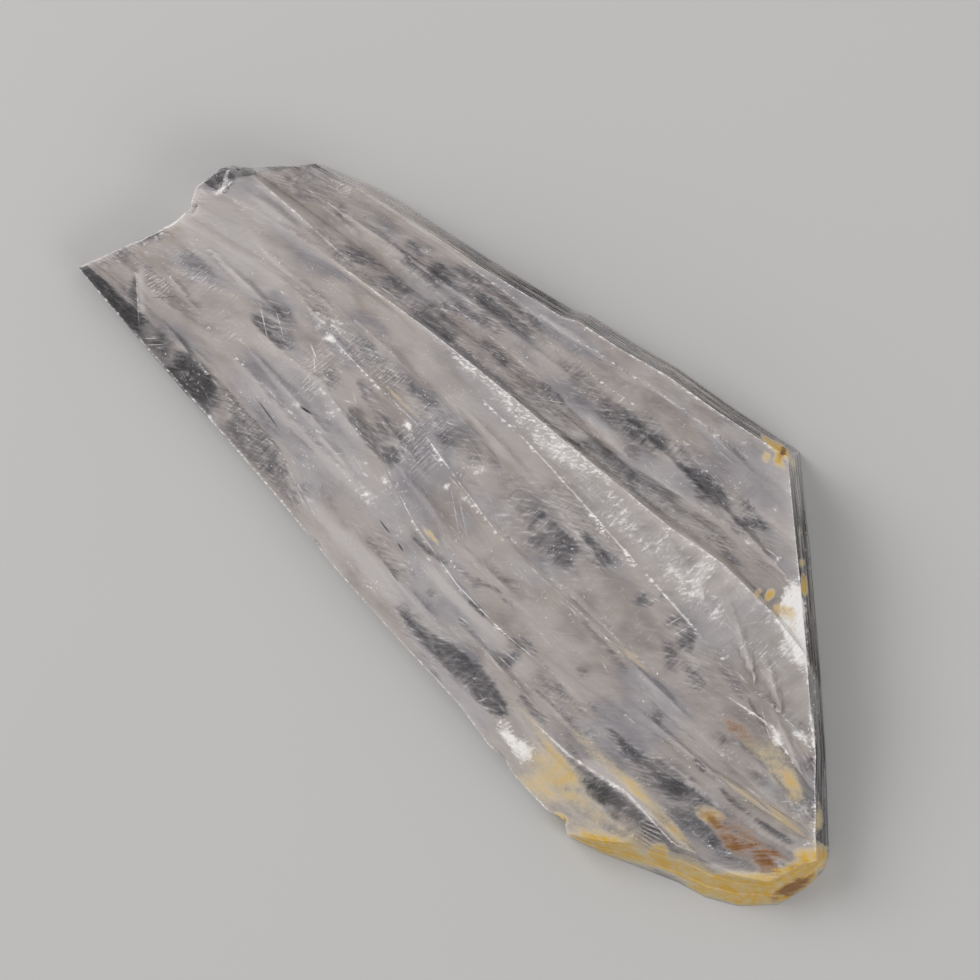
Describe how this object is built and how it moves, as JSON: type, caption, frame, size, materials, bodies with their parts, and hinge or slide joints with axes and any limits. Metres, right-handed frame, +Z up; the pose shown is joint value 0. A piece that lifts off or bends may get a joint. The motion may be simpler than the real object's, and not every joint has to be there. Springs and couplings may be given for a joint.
{
  "type": "calcite crystal",
  "caption": "Cleaved calcite crystal, a long see-through slab with bladed crests and milky veils, lying on its flat cleavage face.",
  "frame": {"origin": "middle of the crystal's bounding box, on the flat face that it rests on", "axes": "+X along the blades, from the thin clear west tip to the iron-stained east tip; +Y towards the layered north wall; +Z up, out of the crested face"},
  "size_m": [0.11, 0.0512, 0.0154],
  "materials": {
    "calcite": "clear to milky carbonate crystal, glassy cleavage faces with frosted crests, iron-stained east end"
  },
  "bodies": {
    "root": {"calcite_crystal": "calcite"}
  },
  "joints": []
}
